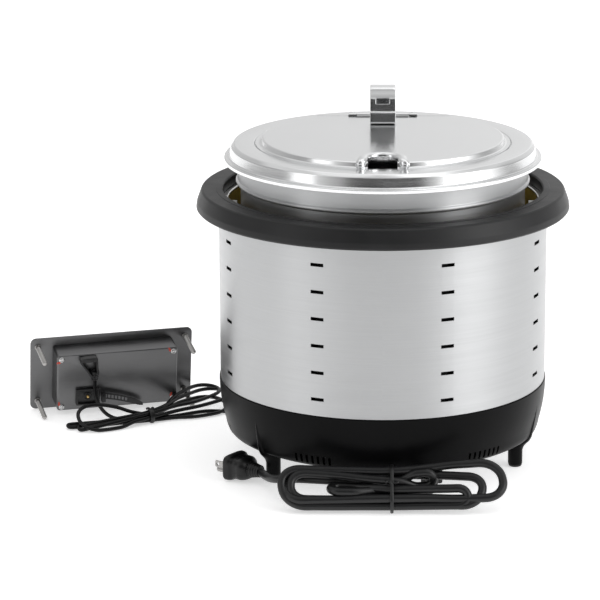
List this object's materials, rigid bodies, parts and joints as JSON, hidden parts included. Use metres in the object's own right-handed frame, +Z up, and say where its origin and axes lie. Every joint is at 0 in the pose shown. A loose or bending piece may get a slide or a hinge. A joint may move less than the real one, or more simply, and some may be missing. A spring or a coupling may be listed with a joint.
{
  "type": "soup kettle",
  "caption": "Round drop-in induction soup kettle with a removable polished inset, a hinged lid with ladle notch, legs, a mains lead and a wired remote control panel.",
  "frame": {"origin": "centre of the footprint of the kettle and its control panel together, on the surface they stand on, leads not counted", "axes": "+Z up, +X from the control panel towards the kettle, -Y towards the side of the kettle with the ladle notch and the mains lead"},
  "size_m": [0.5312, 0.3769, 0.3452],
  "materials": {
    "shell_steel": "horizontal brushed stainless sheet",
    "polished_steel": "mirror polished stainless",
    "dark_steel": "plain rolled steel",
    "black_plastic": "satin moulded resin",
    "rubber": "soft black rubber",
    "well_liner": "mustard coated liner",
    "white_pad": "white spacer pads",
    "ceramic": "black glass ceramic, opaque",
    "coil_copper": "enamelled copper winding",
    "circuit_board": "green circuit board",
    "aluminium": "plain aluminium",
    "panel_steel": "grey brushed sheet",
    "stud_steel": "bright threaded steel",
    "cord_jacket": "satin black cord jacket",
    "plug_body": "moulded black plug",
    "brass": "plated contact",
    "display": "smoked display window",
    "keys": "grey push keys",
    "overlay": "satin black overlay sheet"
  },
  "bodies": {
    "kettle_body": {"outer_shell": "shell_steel", "top_ring": "black_plastic", "inner_well": "well_liner", "hob_plate": "ceramic", "well_pad_right": "white_pad", "well_pad_left": "white_pad", "well_pad_rear": "white_pad", "base_housing": "black_plastic", "foot_pad_front_left": "rubber", "foot_pad_front_right": "rubber", "foot_pad_rear": "rubber", "bottom_plate": "dark_steel", "induction_coil": "coil_copper", "coil_carrier": "aluminium", "power_board": "circuit_board", "heat_sink": "aluminium", "fan_frame": "black_plastic", "panel_plate": "panel_steel", "control_box": "panel_steel", "control_board": "circuit_board", "aux_socket": "black_plastic", "socket_pin": "brass", "cable_boot": "plug_body", "zip_tie": "black_plastic", "panel_overlay": "overlay", "display_window": "display", "mains_strain_relief": "rubber", "mains_cord_exit": "cord_jacket", "mains_cord_hank": "cord_jacket", "cord_tie": "rubber", "mains_cord_lead": "cord_jacket", "mains_plug": "plug_body", "plug_blade_left": "stud_steel", "plug_blade_right": "stud_steel", "plug_ground_pin": "stud_steel", "control_cable_gland": "rubber", "control_cable_exit": "cord_jacket", "control_cable_hank": "cord_jacket", "cable_tie": "rubber", "control_cable_rise": "cord_jacket", "box_screw_1": "aluminium", "mount_stud_1": "stud_steel", "box_screw_2": "aluminium", "mount_stud_2": "stud_steel", "box_screw_3": "aluminium", "mount_stud_3": "stud_steel", "box_screw_4": "aluminium", "mount_stud_4": "stud_steel"},
    "inset": {"soup_inset": "polished_steel"},
    "lid": {"lid_ring": "polished_steel", "hinge_pin": "dark_steel"},
    "flap": {"lid_flap": "polished_steel", "lid_handle": "polished_steel"},
    "fan": {"fan_rotor": "black_plastic"},
    "power_key": {"key_power": "keys"},
    "mode_key": {"key_mode": "keys"},
    "down_key": {"key_down": "keys"},
    "up_key": {"key_up": "keys"}
  },
  "joints": [
    {"name": "inset_lift", "type": "slide", "parent": "kettle_body", "child": "inset", "axis": [0, 0, 1], "range_m": [0, 0.24]},
    {"name": "lid_lift", "type": "slide", "parent": "inset", "child": "lid", "axis": [0, 0, 1], "range_m": [0, 0.12]},
    {"name": "flap_hinge", "type": "hinge", "parent": "lid", "child": "flap", "pos_m": [0.08962, 0.09067, 0.311], "axis": [-1, 0, 0], "range_deg": [0, 95]},
    {"name": "fan_spin", "type": "hinge", "parent": "kettle_body", "child": "fan", "pos_m": [0.14162, 0.04067, 0.04], "axis": [0, 0, 1], "continuous": true},
    {"name": "power_press", "type": "slide", "parent": "kettle_body", "child": "power_key", "axis": [0.2834, -0.9447, -0.1652], "range_m": [0, 0.001], "stiffness_N_per_m": 300},
    {"name": "mode_press", "type": "slide", "parent": "kettle_body", "child": "mode_key", "axis": [0.2834, -0.9447, -0.1652], "range_m": [0, 0.001], "stiffness_N_per_m": 300},
    {"name": "down_press", "type": "slide", "parent": "kettle_body", "child": "down_key", "axis": [0.2834, -0.9447, -0.1652], "range_m": [0, 0.001], "stiffness_N_per_m": 300},
    {"name": "up_press", "type": "slide", "parent": "kettle_body", "child": "up_key", "axis": [0.2834, -0.9447, -0.1652], "range_m": [0, 0.001], "stiffness_N_per_m": 300}
  ]
}
